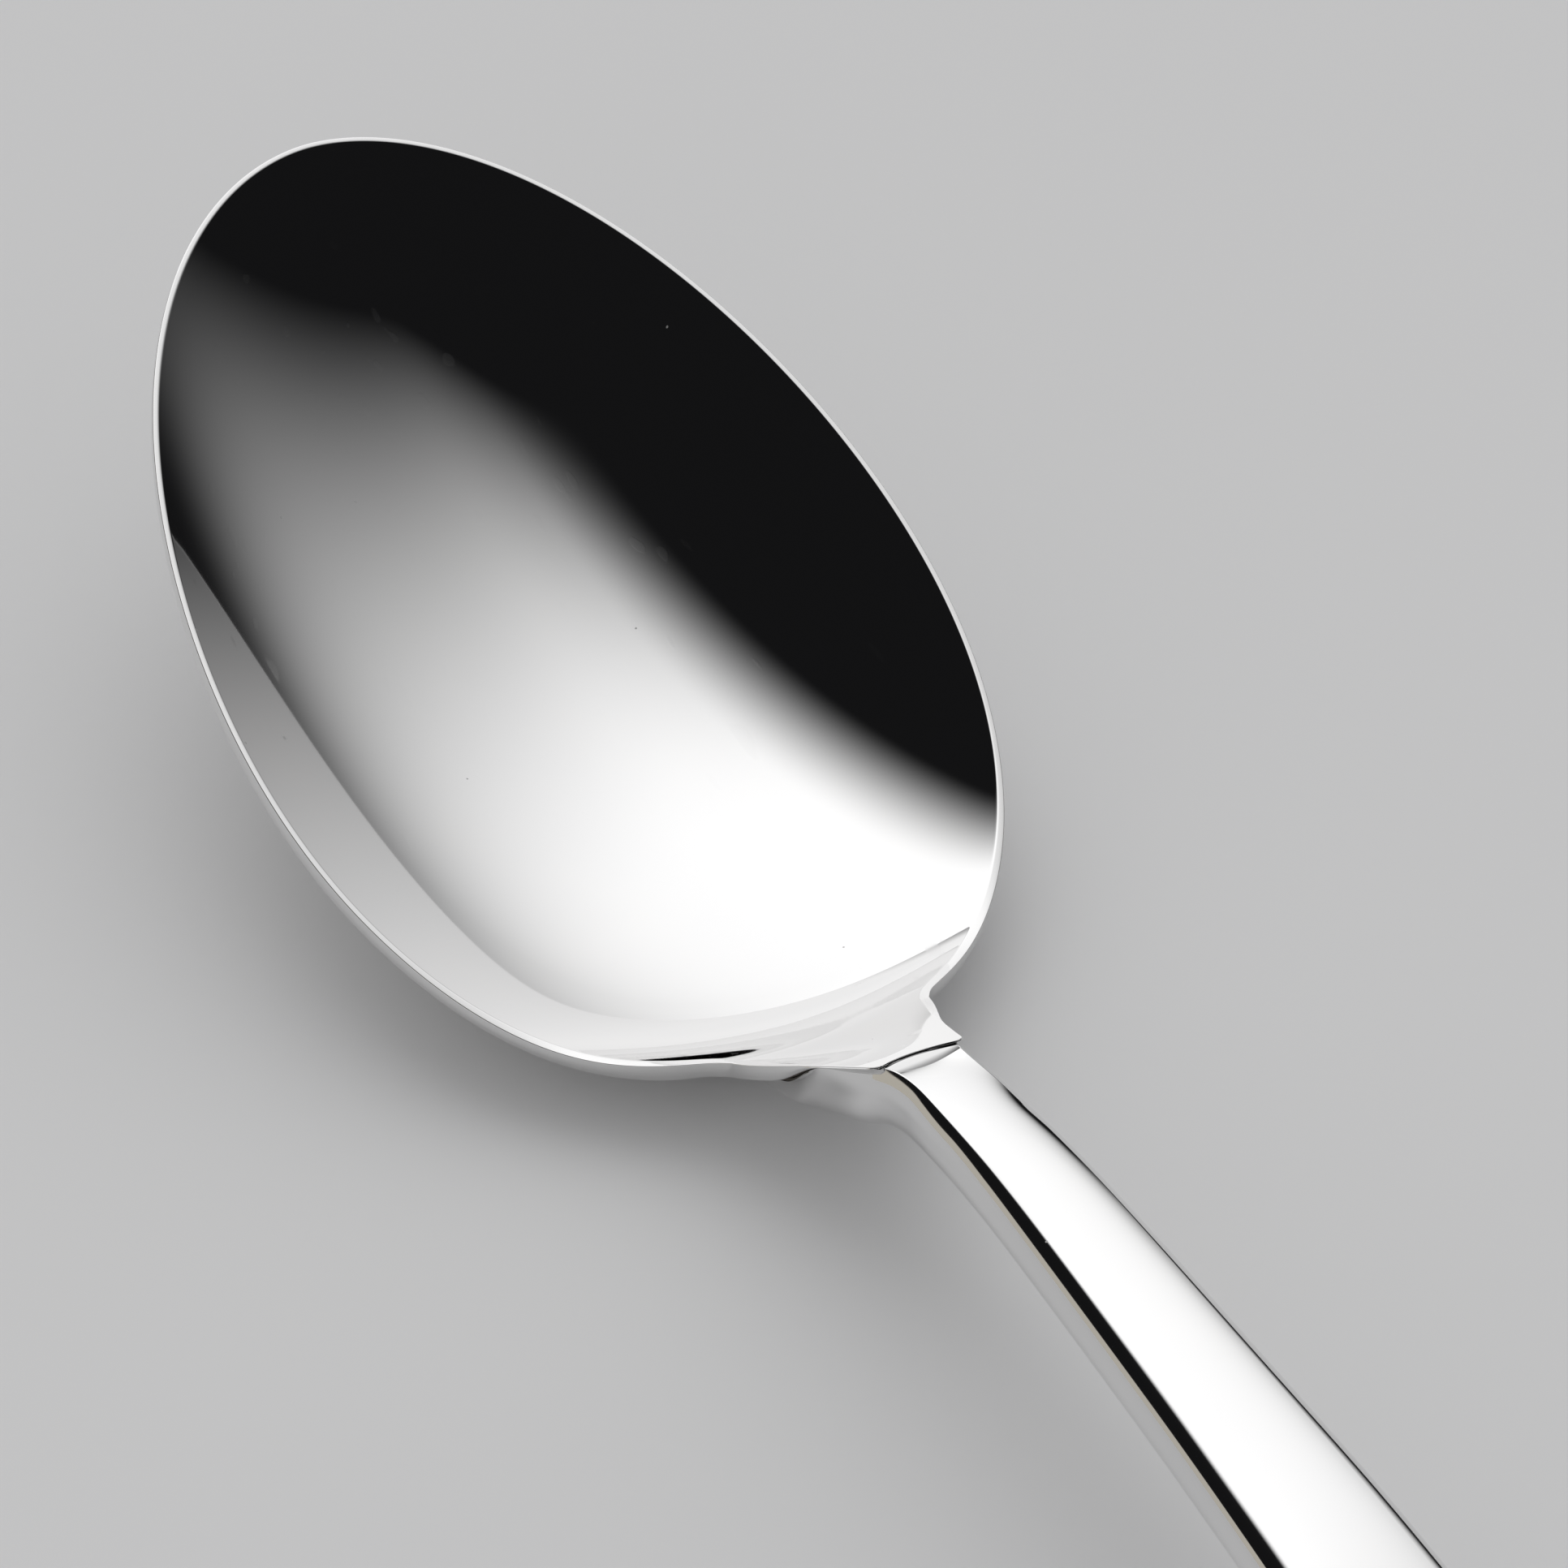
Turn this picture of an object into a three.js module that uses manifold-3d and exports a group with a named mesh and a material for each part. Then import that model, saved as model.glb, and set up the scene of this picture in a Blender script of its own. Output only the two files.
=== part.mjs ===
// A dessert spoon at rest on a table: a pressed bowl brazed onto the head of a forged solid handle.
// Millimetres. +X runs from the bowl's tip to the handle's end, +Z is up, XZ is the plane of symmetry.
// The origin is the point where the bowl stands on the table.
import * as THREE from "three";
import Module from "manifold-3d";

// Bowl, measured in its own rim plane
const BOWL_LENGTH = 61;
const BOWL_WIDTH = 37.2;
const BOWL_DEPTH = 7.5;
const BOWL_WALL = 1.6;
const RIM_WALL = 0.85;
const RIM_LAND = 0.28;
const EGG_FULLNESS = 0.124;
const BOWL_TILT = 16.8;

// Heel of the bowl: the rim sweeps up to a tongue that ends on top of the handle
const HEEL_ANGLE = 50;
const HEEL_BEND = 1.6;
const TROUGH_DEPTH = 0.6;
const TROUGH_LENGTH = 4;
const FLOOR_EASE = 0.35;
const TONGUE_REACH = 7.2;
const TONGUE_END_WIDTH = 3.9;
const TONGUE_TAPER = 0.4;
const TONGUE_HOLLOW = 0.55;
const TONGUE_LAND = 0.1;
const LIP_WALL = 0.15;
const FEATHER_LENGTH = 2.5;
const EAR_LAND = 0.5;
const EAR_REACH = 3.6;

// Joint between the bowl's heel and the handle's seat
const FILM_THICKNESS = 0.18;
const FILM_CLEARANCE = 0.05;
const RAIL_WIDTH = 0.45;
const SEAT_WIDTH = 10;
const SEAT_HEADROOM = 12;
const TONGUE_STEP = 0.1;
const DROP_LENGTH = 4.5;
const DROP_THICKNESS = 0.6;

// Handle
const OVERALL_LENGTH = 180;
const CREST_HEIGHT = 14.05;
const NECK_SLOPE = 0.46;
const NECK_LENGTH = 15;
const NECK_SAG = 0.35;
const UNDER_BLEND = 4;
const CREST_REACH = 36;
const END_ROUNDING = 8;
const NECK_WIDTH = 3.3;
const CREST_WIDTH = 5.75;
const END_WIDTH = 14.5;
const NECK_THICKNESS = 3.3;
const END_THICKNESS = 2.3;
const FLANK_ANGLE = 52;
const FLANK_REACH = 0.85;
const FLANK_DROP = 1.6;
const TOP_CROWN = 0.38;

// Depth of the small flats on which the spoon stands
const REST_FLAT = 0.12;

const tilt = THREE.MathUtils.degToRad(BOWL_TILT);
const innerLength = BOWL_LENGTH / 2 - RIM_LAND;
const innerWidth = BOWL_WIDTH / 2 - RIM_LAND;
const tongueEnd = innerLength + TONGUE_REACH;
const earEnd = innerLength + EAR_REACH;

// Egg outline of the bowl's inside: angle 0 at the tip, pi at the heel
function eggHalfWidth(angle) {
  const c = Math.cos(angle);
  const fullness = 1 - EGG_FULLNESS * c + 0.45 * EGG_FULLNESS * c * c;
  return innerWidth * Math.pow(Math.max(Math.sin(angle), 0), 1.056) * fullness;
}

function smoothMax(a, b, blend) {
  return (a + b + Math.hypot(a - b, blend)) / 2;
}

// Half width of the inside at a distance along the spoon, from the tip to the tongue's end
function insideHalfWidth(x) {
  const egg = Math.abs(x) < innerLength ? eggHalfWidth(Math.acos(-x / innerLength)) : 0;
  if (x < 0) {
    return egg;
  }
  const neck = TONGUE_END_WIDTH / 2 + TONGUE_TAPER * (tongueEnd - x);
  return smoothMax(egg, neck, 0.4 * x / innerLength);
}

// The rim lies in its plane and sweeps up at the heel
function rimHeight(x) {
  const knee = innerLength - 1.375 * HEEL_BEND;
  const slope = Math.tan(THREE.MathUtils.degToRad(HEEL_ANGLE));
  return slope * HEEL_BEND * Math.log1p(Math.exp((x - knee) / HEEL_BEND));
}

// Depth of the floor below the rim on the plane of symmetry
function floorDip(x) {
  const cap = BOWL_DEPTH * (1 - (x / innerLength) ** 2);
  if (x < 0) {
    return cap;
  }
  const far = (x / innerLength) ** 4;
  const trough = TROUGH_DEPTH * Math.exp(-(((x - innerLength) / TROUGH_LENGTH) ** 2)) * far;
  return (cap + Math.hypot(cap, FLOOR_EASE * far)) / 2 + trough;
}

function insideHeight(x, y) {
  const across = y / Math.max(insideHalfWidth(x), 0.2);
  return rimHeight(x) - floorDip(x) * (1 - across * across);
}

// 0 on the bowl, 1 on the tongue
function onTongue(x) {
  return THREE.MathUtils.smoothstep(x, earEnd - EAR_REACH / 3, earEnd + EAR_REACH / 6);
}

// How far the tongue is thinned to a lip, at its sides and at its end
function feathering(x, y) {
  const across = Math.abs(y) / Math.max(insideHalfWidth(x), 0.2);
  const sides = THREE.MathUtils.smoothstep(across, 0.4, 1);
  const end = THREE.MathUtils.smoothstep(x, tongueEnd - FEATHER_LENGTH, tongueEnd - 0.12 * FEATHER_LENGTH);
  return onTongue(x) * (1 - (1 - sides) * (1 - end));
}

// Underside of the bowl: the inside lowered by the wall, measured square to the surface
function undersideHeight(x, y) {
  const height = insideHeight(x, y);
  const depth = THREE.MathUtils.clamp((rimHeight(x) - height) / BOWL_DEPTH, 0, 1);
  const fullWall = THREE.MathUtils.lerp(RIM_WALL, BOWL_WALL, depth);
  const wall = THREE.MathUtils.lerp(fullWall, LIP_WALL, feathering(x, y));
  const step = 0.05;
  const along = (insideHeight(x + step, y) - insideHeight(x - step, y)) / (2 * step);
  const across = (insideHeight(x, y + step) - insideHeight(x, y - step)) / (2 * step);
  return height - wall * Math.sqrt(1 + along * along + across * across);
}

function tongueEndAt(y) {
  const share = Math.min(Math.abs(y) / (TONGUE_END_WIDTH / 2), 1);
  return tongueEnd - TONGUE_HOLLOW * (1 - share * share);
}

// Inside outline of one half, from the tip to the middle of the tongue's end
function insideOutline() {
  const points = [];
  const eggEnd = Math.acos(-0.93);
  for (let i = 0; i <= 22; i += 1) {
    const angle = eggEnd * i / 22;
    const x = -innerLength * Math.cos(angle);
    points.push(new THREE.Vector2(x, insideHalfWidth(x)));
  }
  const start = points.at(-1).x;
  const runs = [[start, earEnd, 7], [earEnd, earEnd + 0.25, 1], [earEnd + 0.25, tongueEnd, 6]];
  for (const [from, to, count] of runs) {
    for (let i = 1; i <= count; i += 1) {
      const x = from + (to - from) * i / count;
      points.push(new THREE.Vector2(x, insideHalfWidth(x)));
    }
  }
  const corner = points.at(-1).y;
  for (let i = 1; i <= 4; i += 1) {
    const y = corner * (1 - i / 4);
    points.push(new THREE.Vector2(tongueEndAt(y), y));
  }
  return points;
}

// Width of the flat band on the rim: wider towards the ears, narrow round the tongue
function landWidth(x) {
  if (x > earEnd + 0.1) {
    return TONGUE_LAND;
  }
  const nearHeel = THREE.MathUtils.smoothstep(x, 0.5 * innerLength, innerLength);
  return THREE.MathUtils.lerp(RIM_LAND, EAR_LAND, nearHeel);
}

function mirrored(half) {
  const back = half.slice(1, -1).reverse();
  return half.concat(back.map((p) => new THREE.Vector2(p.x, -p.y)));
}

// Moves a closed outline outwards by a width that depends on the place
function widened(outline, widthAt) {
  const count = outline.length;
  return outline.map((p, i) => {
    const before = outline[(i + count - 1) % count];
    const after = outline[(i + 1) % count];
    const normal = new THREE.Vector2(before.y - after.y, after.x - before.x).normalize();
    return p.clone().addScaledVector(normal, widthAt(p.x));
  });
}

function geometryFrom(points, faces) {
  const geometry = new THREE.BufferGeometry();
  const numbers = points.flatMap((p) => p.toArray());
  geometry.setAttribute("position", new THREE.Float32BufferAttribute(numbers, 3));
  geometry.setIndex(faces);
  return geometry;
}

// Joins rings of equal length into a closed skin with a point or a flat fan at each end
function skin(rings, firstPoint, lastPoint) {
  const count = rings[0].length;
  const points = rings.flat();
  const first = points.push(firstPoint) - 1;
  const last = points.push(lastPoint) - 1;
  const faces = [];
  for (let j = 0; j < count; j += 1) {
    const k = (j + 1) % count;
    faces.push(first, k, j);
    for (let i = 0; i + 1 < rings.length; i += 1) {
      const a = i * count;
      const b = a + count;
      faces.push(a + j, a + k, b + k, a + j, b + k, b + j);
    }
    const end = (rings.length - 1) * count;
    faces.push(end + j, end + k, last);
  }
  return geometryFrom(points, faces);
}

// The spot of the underside that is lowest once the bowl is tilted, and its place on the table
const tilted = (x, z) => [x * Math.cos(tilt) + z * Math.sin(tilt), z * Math.cos(tilt) - x * Math.sin(tilt)];
let standAt = 0;
for (let x = -innerLength / 2; x < 0.8 * innerLength; x += 0.1) {
  if (tilted(x, undersideHeight(x, 0))[1] < tilted(standAt, undersideHeight(standAt, 0))[1]) {
    standAt = x;
  }
}
const [standX, standZ] = tilted(standAt, undersideHeight(standAt, 0));

// Turns a point from the bowl's rim plane to its pose on the table
function posed(p) {
  const [x, z] = tilted(p.x, p.z);
  return new THREE.Vector3(x - standX, p.y, z - standZ - REST_FLAT);
}

const inside = mirrored(insideOutline());
const outside = widened(inside, landWidth);

function bowlRings() {
  const middle = new THREE.Vector2(standAt, 0);
  const towards = (p, share) => middle.clone().lerp(p, share);
  const onInside = (p) => new THREE.Vector3(p.x, p.y, insideHeight(p.x, p.y));
  const rings = [];
  for (const share of [0.2, 0.38, 0.54, 0.66, 0.75, 0.82, 0.88, 0.94, 1]) {
    rings.push(inside.map((p) => onInside(towards(p, share))));
  }
  rings.push(outside.map((p, i) => new THREE.Vector3(p.x, p.y, insideHeight(inside[i].x, inside[i].y))));
  for (const share of [1, 0.975, 0.95, 0.92, 0.89, 0.82, 0.75, 0.66, 0.54, 0.38, 0.2, 0.075]) {
    rings.push(outside.map((p, i) => {
      const edge = share === 1 ? inside[i] : towards(p, share);
      const place = towards(p, share);
      return new THREE.Vector3(place.x, place.y, undersideHeight(edge.x, edge.y));
    }));
  }
  return rings;
}

const floorPoint = new THREE.Vector3(standAt, 0, insideHeight(standAt, 0));
const backPoint = new THREE.Vector3(standAt, 0, undersideHeight(standAt, 0));
const bowlSkin = skin(bowlRings().map((ring) => ring.map(posed)), posed(floorPoint), posed(backPoint));

// Depth of the handle's seat below the bowl's underside. Its rails rise to just under the tongue's lip.
function seatDepth(x, y) {
  const half = insideHalfWidth(x);
  const rail = THREE.MathUtils.smoothstep(Math.abs(y), half - RAIL_WIDTH, half - RAIL_WIDTH / 3);
  return FILM_CLEARANCE + (FILM_THICKNESS + FILM_CLEARANCE) * (1 - onTongue(x) * rail);
}

// Places across the heel on one side: even steps under the film, then close steps over the rail
function placesAcross(x, overRail) {
  const half = Math.min(insideHalfWidth(x), 0.42 * SEAT_WIDTH);
  const filmHalf = half - RAIL_WIDTH - FILM_CLEARANCE;
  const places = [0, 0.2, 0.4, 0.6, 0.8, 1].map((share) => share * filmHalf);
  const railPlaces = [1, 0.78, 0.56, 0.34, 0].map((share) => half - share * RAIL_WIDTH);
  return overRail ? places.concat(railPlaces, SEAT_WIDTH / 2) : places;
}

// A slab over the heel that follows the bowl's underside: the space above the seat, or the joint's film
function heelSlab(isSeat) {
  const start = innerLength - 1.15 * DROP_LENGTH;
  const filmEnd = tongueEnd - RAIL_WIDTH / 3;
  const rowPlaces = [];
  for (let i = 0; i <= 24; i += 1) {
    rowPlaces.push(start + (filmEnd - start) * i / 24);
  }
  if (isSeat) {
    rowPlaces.push(tongueEnd + TONGUE_LAND + FILM_CLEARANCE);
  }
  const lower = [];
  const upper = [];
  for (const row of rowPlaces) {
    const right = placesAcross(row, isSeat);
    const across = right.slice(1).reverse().map((y) => -y).concat(right);
    for (const y of across) {
      const x = row + (tongueEndAt(y) - tongueEnd) * (row - start) / (tongueEnd - start);
      const z = undersideHeight(x, Math.min(Math.abs(y), insideHalfWidth(x)));
      const depth = isSeat ? seatDepth(x, y) : FILM_THICKNESS + FILM_CLEARANCE;
      lower.push(posed(new THREE.Vector3(x, y, z - depth)));
      upper.push(posed(new THREE.Vector3(x, y, z + (isSeat ? SEAT_HEADROOM : FILM_CLEARANCE))));
    }
  }
  const rows = rowPlaces.length - 1;
  const columns = lower.length / rowPlaces.length - 1;
  const faces = [];
  const wide = columns + 1;
  const above = lower.length;
  const quad = (p, q, r, t) => faces.push(p, q, r, p, r, t);
  for (let i = 0; i < rows; i += 1) {
    for (let j = 0; j < columns; j += 1) {
      const p = i * wide + j;
      quad(p, p + 1, p + wide + 1, p + wide);
      quad(above + p, above + p + wide, above + p + wide + 1, above + p + 1);
    }
    const left = i * wide;
    const right = left + columns;
    quad(left, left + wide, above + left + wide, above + left);
    quad(right, above + right, above + right + wide, right + wide);
  }
  for (let j = 0; j < columns; j += 1) {
    const far = rows * wide + j;
    quad(j, above + j, above + j + 1, j + 1);
    quad(far, far + 1, above + far + 1, above + far);
  }
  return geometryFrom(lower.concat(upper), faces);
}

// Heel in the table's frame: the floor and the underside on the plane of symmetry, and the lip's lower edge
const heelStart = innerLength - DROP_LENGTH;
const floorLine = [];
const undersideLine = [];
const lipLine = [];
for (let i = 0; i <= 40; i += 1) {
  const x = heelStart + (tongueEnd - heelStart) * i / 40;
  floorLine.push(posed(new THREE.Vector3(x, 0, insideHeight(x, 0))));
  undersideLine.push(posed(new THREE.Vector3(x, 0, undersideHeight(x, 0))));
  const edge = insideHalfWidth(x);
  lipLine.push(posed(new THREE.Vector3(x, edge, undersideHeight(x, edge))));
}

function heightOn(line, x) {
  let i = 1;
  while (i < line.length - 1 && line[i].x < x) {
    i += 1;
  }
  const a = line[i - 1];
  const b = line[i];
  return THREE.MathUtils.lerp(a.z, b.z, (x - a.x) / (b.x - a.x));
}

function hermite(from, to, x) {
  const span = to.x - from.x;
  const t = (x - from.x) / span;
  const rise = from.z * (2 * t ** 3 - 3 * t ** 2 + 1) + to.z * (3 * t ** 2 - 2 * t ** 3);
  return rise + span * (from.slope * (t ** 3 - 2 * t ** 2 + t) + to.slope * (t ** 3 - t ** 2));
}

// The handle's top line: the tongue, the neck, a level crest and an easy fall to the end
const tipX = posed(new THREE.Vector3(-BOWL_LENGTH / 2, 0, 0)).x;
const endX = tipX + OVERALL_LENGTH;
const tongueTip = floorLine.at(-1);
const neckStart = { x: tongueTip.x, z: tongueTip.z - TONGUE_STEP, slope: NECK_SLOPE };
const neckEnd = { x: neckStart.x + NECK_LENGTH, z: CREST_HEIGHT - NECK_SAG, slope: 0.03 };
const crest = { x: neckStart.x + CREST_REACH, z: CREST_HEIGHT, slope: 0 };
const end = { x: endX, z: END_THICKNESS - REST_FLAT, slope: -0.02 };

function topLine(x) {
  if (x < neckStart.x) {
    return heightOn(floorLine, x) - TONGUE_STEP;
  }
  if (x < neckEnd.x) {
    return hermite(neckStart, neckEnd, x);
  }
  return x < crest.x ? hermite(neckEnd, crest, x) : hermite(crest, end, x);
}

const dropStart = undersideLine[0].x;
const earX = posed(new THREE.Vector3(earEnd, 0, insideHeight(earEnd, 0))).x;
const headLength = neckStart.x - earX;
const headTaper = TONGUE_TAPER * (tongueEnd - earEnd) / headLength;

// Thickness of the bar, measured upright
function barThickness(x) {
  const slope = (topLine(x + 0.2) - topLine(x - 0.2)) / 0.4;
  const fade = THREE.MathUtils.smoothstep(x, crest.x, endX);
  return THREE.MathUtils.lerp(NECK_THICKNESS, END_THICKNESS, fade) * Math.sqrt(1 + slope * slope);
}

function bottomLine(x) {
  const bar = topLine(x) - barThickness(x);
  if (x >= neckStart.x + UNDER_BLEND) {
    return bar;
  }
  const share = (x - dropStart) / (neckStart.x + UNDER_BLEND - dropStart);
  const drop = heightOn(undersideLine, Math.min(x, neckStart.x)) - DROP_THICKNESS * (0.6 + share);
  return THREE.MathUtils.lerp(drop, bar, THREE.MathUtils.smoothstep(share, 0.2, 0.85));
}

// The top face ends short of the bar's end by the reach of the flank that runs round it
const endReach = FLANK_REACH * END_THICKNESS / NECK_THICKNESS;
const topEndX = endX - endReach;

// Half width of the bar's top face
function topHalfWidth(x) {
  if (x < neckStart.x) {
    const along = THREE.MathUtils.clamp((x - dropStart) / DROP_LENGTH, 0, 1);
    const back = neckStart.x - x;
    const soft = 0.1 * headLength;
    const under = back - soft * Math.log1p(Math.exp((back - headLength) / soft));
    const head = TONGUE_END_WIDTH / 2 + headTaper * under;
    return head * Math.sqrt(1 - (1 - along) ** 2) + 0.05;
  }
  const neck = NECK_WIDTH / 2;
  const step = TONGUE_END_WIDTH / 2 - neck;
  const waist = step * Math.exp(-(x - neckStart.x) * headTaper / step);
  const widest = CREST_REACH - NECK_LENGTH / 5;
  const widening = THREE.MathUtils.clamp((x - crest.x + widest) / widest, 0, 1);
  const slim = neck + (CREST_WIDTH / 2 - neck) * widening ** 0.9;
  const broad = THREE.MathUtils.smootherstep(x, crest.x - CREST_REACH / 3, endX - END_ROUNDING);
  const width = THREE.MathUtils.lerp(slim, END_WIDTH / 2 - endReach, broad);
  const rounding = 0.875 * END_ROUNDING;
  const round = THREE.MathUtils.clamp((x - topEndX + rounding) / rounding, 0, 1);
  return (width + waist) * Math.sqrt(1 - round * round) + 0.05;
}

// Flank below the arris: how far it stands out and drops, from the arris to its widest place
function flankPoint(share, size) {
  const angle = THREE.MathUtils.degToRad(FLANK_ANGLE);
  const lead = 1.5 * FLANK_DROP * (1 - share) ** 2 * share;
  const middle = 3 * (1 - share) * share ** 2;
  const last = share ** 3;
  const out = lead * Math.sin(angle) + (middle + last) * FLANK_REACH;
  const drop = lead * Math.cos(angle) + (0.72 * middle + last) * FLANK_DROP;
  return { out: out * size, drop: drop * size };
}

// How far the top falls to the arris. The head's sides rise as rails under the tongue's lip.
function crownAt(x, taper) {
  const crown = TOP_CROWN * taper;
  const place = Math.min(x, neckStart.x);
  const lip = heightOn(lipLine, Math.min(place, lipLine.at(-1).x));
  const rails = topLine(place) - lip - FILM_CLEARANCE;
  if (x < neckStart.x) {
    const rising = THREE.MathUtils.smoothstep(x, earX - 0.4 * headLength, earX);
    return THREE.MathUtils.lerp(crown, rails, rising);
  }
  const fade = THREE.MathUtils.smoothstep(x, neckStart.x, neckStart.x + NECK_LENGTH / 2);
  return THREE.MathUtils.lerp(rails, crown, fade);
}

// One closed section of the bar: crowned top, flanks that lean out from crisp arrises, rounded back
function barSection(x) {
  const top = topLine(x);
  const depth = top - bottomLine(x);
  const half = topHalfWidth(x);
  const taper = Math.min(half / 2, 1);
  const size = depth / NECK_THICKNESS * (x < neckStart.x ? taper : 1);
  const crown = crownAt(x, taper);
  const tuck = 1 - 0.7 * THREE.MathUtils.smoothstep(neckStart.x - x, 0, headLength);
  const outwards = new THREE.Vector2(topHalfWidth(x - 0.05) - topHalfWidth(x + 0.05), 0.1).normalize();
  const right = [];
  for (const share of [0, 0.4, 0.75, 1]) {
    const fall = crown * (0.7 * share ** 2 + 0.3 * share ** 4);
    right.push(new THREE.Vector3(x, half * share, top - fall));
  }
  for (const share of [0.3, 0.65, 1]) {
    const { out, drop } = flankPoint(share, size);
    const place = outwards.clone().multiplyScalar(out * tuck).add(new THREE.Vector2(x, half));
    right.push(new THREE.Vector3(place.x, place.y, top - crown - drop));
  }
  const widest = right.at(-1);
  const reach = widest.x - x;
  const rest = depth - (top - widest.z);
  for (const angle of [25, 48, 68, 90]) {
    const turn = THREE.MathUtils.degToRad(angle);
    const inwards = angle < 90 ? Math.cos(turn) ** 0.8 : 0;
    const down = rest * Math.sin(turn) ** 0.8;
    right.push(new THREE.Vector3(x + reach * inwards, widest.y * inwards, widest.z - down));
  }
  const left = right.slice(1, -1).reverse().map((p) => new THREE.Vector3(p.x, -p.y, p.z));
  return right.concat(left).reverse();
}

function barStations() {
  const stations = [];
  const runs = [
    [dropStart, dropStart + 0.8 * DROP_LENGTH, 6],
    [dropStart + 0.8 * DROP_LENGTH, earX - 0.2 * headLength, 5],
    [earX - 0.2 * headLength, neckStart.x, 7],
    [neckStart.x, neckStart.x + UNDER_BLEND, 4],
    [neckStart.x + UNDER_BLEND, crest.x, 11],
    [crest.x, topEndX - END_ROUNDING, 12],
  ];
  for (const [from, to, count] of runs) {
    for (let i = 0; i < count; i += 1) {
      stations.push(from + (to - from) * i / count);
    }
  }
  for (let i = 0; i <= 7; i += 1) {
    stations.push(topEndX - END_ROUNDING * (1 - Math.sin(Math.PI / 2 * i / 7)));
  }
  return stations;
}

function centreOf(ring) {
  const sum = new THREE.Vector3();
  ring.forEach((p) => sum.add(p));
  return sum.divideScalar(ring.length);
}

const sections = barStations().map(barSection);
const barSkin = skin(sections, centreOf(sections[0]), centreOf(sections.at(-1)));

const wasm = await Module();
wasm.setup();

function solidFrom(geometry) {
  const vertProperties = new Float32Array(geometry.getAttribute("position").array);
  const triVerts = new Uint32Array(geometry.getIndex().array);
  const mesh = new wasm.Mesh({ numProp: 3, vertProperties, triVerts });
  mesh.merge();
  return new wasm.Manifold(mesh);
}

function meshFrom(solid, name, material) {
  const result = solid.getMesh();
  const geometry = new THREE.BufferGeometry();
  geometry.setAttribute("position", new THREE.Float32BufferAttribute(result.vertProperties, 3));
  geometry.setIndex(Array.from(result.triVerts));
  geometry.computeVertexNormals();
  const mesh = new THREE.Mesh(geometry, material);
  mesh.name = name;
  return mesh;
}

const aboveTable = (solid) => solid.trimByPlane([0, 0, 1], 0);
const bar = solidFrom(barSkin);
const bowl = aboveTable(solidFrom(bowlSkin));
const lowered = bowl.translate([-FILM_CLEARANCE * Math.sin(tilt), 0, -FILM_CLEARANCE * Math.cos(tilt)]);
const handle = aboveTable(bar.subtract(solidFrom(heelSlab(true))).subtract(lowered));
const braze = bar.intersect(solidFrom(heelSlab(false))).subtract(lowered);

const steel = new THREE.MeshStandardMaterial({ color: 0xc9cbcd, metalness: 1, roughness: 0.08 });
const barSteel = new THREE.MeshStandardMaterial({ color: 0xc4c6c8, metalness: 1, roughness: 0.1 });
const filler = new THREE.MeshStandardMaterial({ color: 0xb9b4a6, metalness: 1, roughness: 0.35 });

const spoon = new THREE.Group();
spoon.name = "dessert_spoon";
spoon.add(meshFrom(bowl, "bowl", steel));
spoon.add(meshFrom(handle, "handle", barSteel));
spoon.add(meshFrom(braze, "braze_film", filler));

export default spoon;
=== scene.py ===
import math
import bmesh
import bpy
import numpy as np
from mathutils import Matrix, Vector


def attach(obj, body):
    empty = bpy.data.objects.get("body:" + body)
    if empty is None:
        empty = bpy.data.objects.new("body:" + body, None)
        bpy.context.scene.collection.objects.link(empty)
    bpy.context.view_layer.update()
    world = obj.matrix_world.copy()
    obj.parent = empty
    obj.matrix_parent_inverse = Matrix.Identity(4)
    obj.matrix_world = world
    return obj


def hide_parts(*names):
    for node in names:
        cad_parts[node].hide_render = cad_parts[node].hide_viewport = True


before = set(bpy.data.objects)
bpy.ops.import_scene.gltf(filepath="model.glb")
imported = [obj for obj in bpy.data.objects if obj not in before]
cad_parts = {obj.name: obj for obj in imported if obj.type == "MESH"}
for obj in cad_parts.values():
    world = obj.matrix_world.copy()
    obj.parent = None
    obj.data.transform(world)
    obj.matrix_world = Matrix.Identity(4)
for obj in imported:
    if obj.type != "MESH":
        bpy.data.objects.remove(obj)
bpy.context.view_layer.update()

# Sizes of the spoon, in millimetres and degrees
MM = 0.001
BOWL_LENGTH, BOWL_WIDTH, BOWL_DEPTH = 61.0, 37.2, 7.5
BOWL_WALL, RIM_WALL, RIM_LAND = 1.6, 0.85, 0.28
EGG_FULLNESS, EGG_BLUNTNESS, EGG_POWER, BOWL_TILT = 0.124, 0.45, 0.528, 16.8
HEEL_ANGLE, HEEL_BEND, HEEL_START = 50.0, 1.6, 2.2
TROUGH_DEPTH, TROUGH_LENGTH, FLOOR_EASE = 0.6, 4.0, 0.35
TONGUE_REACH, TONGUE_END_WIDTH, TONGUE_TAPER = 7.2, 3.9, 0.4
TONGUE_HOLLOW, TONGUE_LAND, SPUR_ROUND = 0.55, 0.1, 0.3
LIP_WALL, FEATHER_LENGTH = 0.15, 2.5
EAR_LAND, EAR_REACH, EAR_BEND = 0.5, 3.6, 1.4
RIM_ROUND_IN, RIM_ROUND_OUT, SIDE_ROUND, FOOT_ROUND = 0.07, 0.06, 0.09, 0.25
SIDE_BULGE, UNDER_ROUND = 0.16, 0.3
LAST_INSIDE, NEXT_INSIDE, LAST_UNDERSIDE = 0.14, 0.3, 0.4
FILM_THICKNESS, FILM_CLEARANCE, FILM_INSET = 0.18, 0.05, 0.5
RAIL_WIDTH, RAIL_EDGE, RAIL_STOCK, HEAD_TUCK = 0.45, 0.15, 0.05, 0.7
SEAT_HALF_WIDTH, SEAT_HEADROOM, SEAT_MIDDLE, SEAT_EDGE = 5.0, 12.0, 4.2, 0.6
TONGUE_STEP, DROP_LENGTH, DROP_THICKNESS = 0.1, 4.5, 0.6
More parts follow.
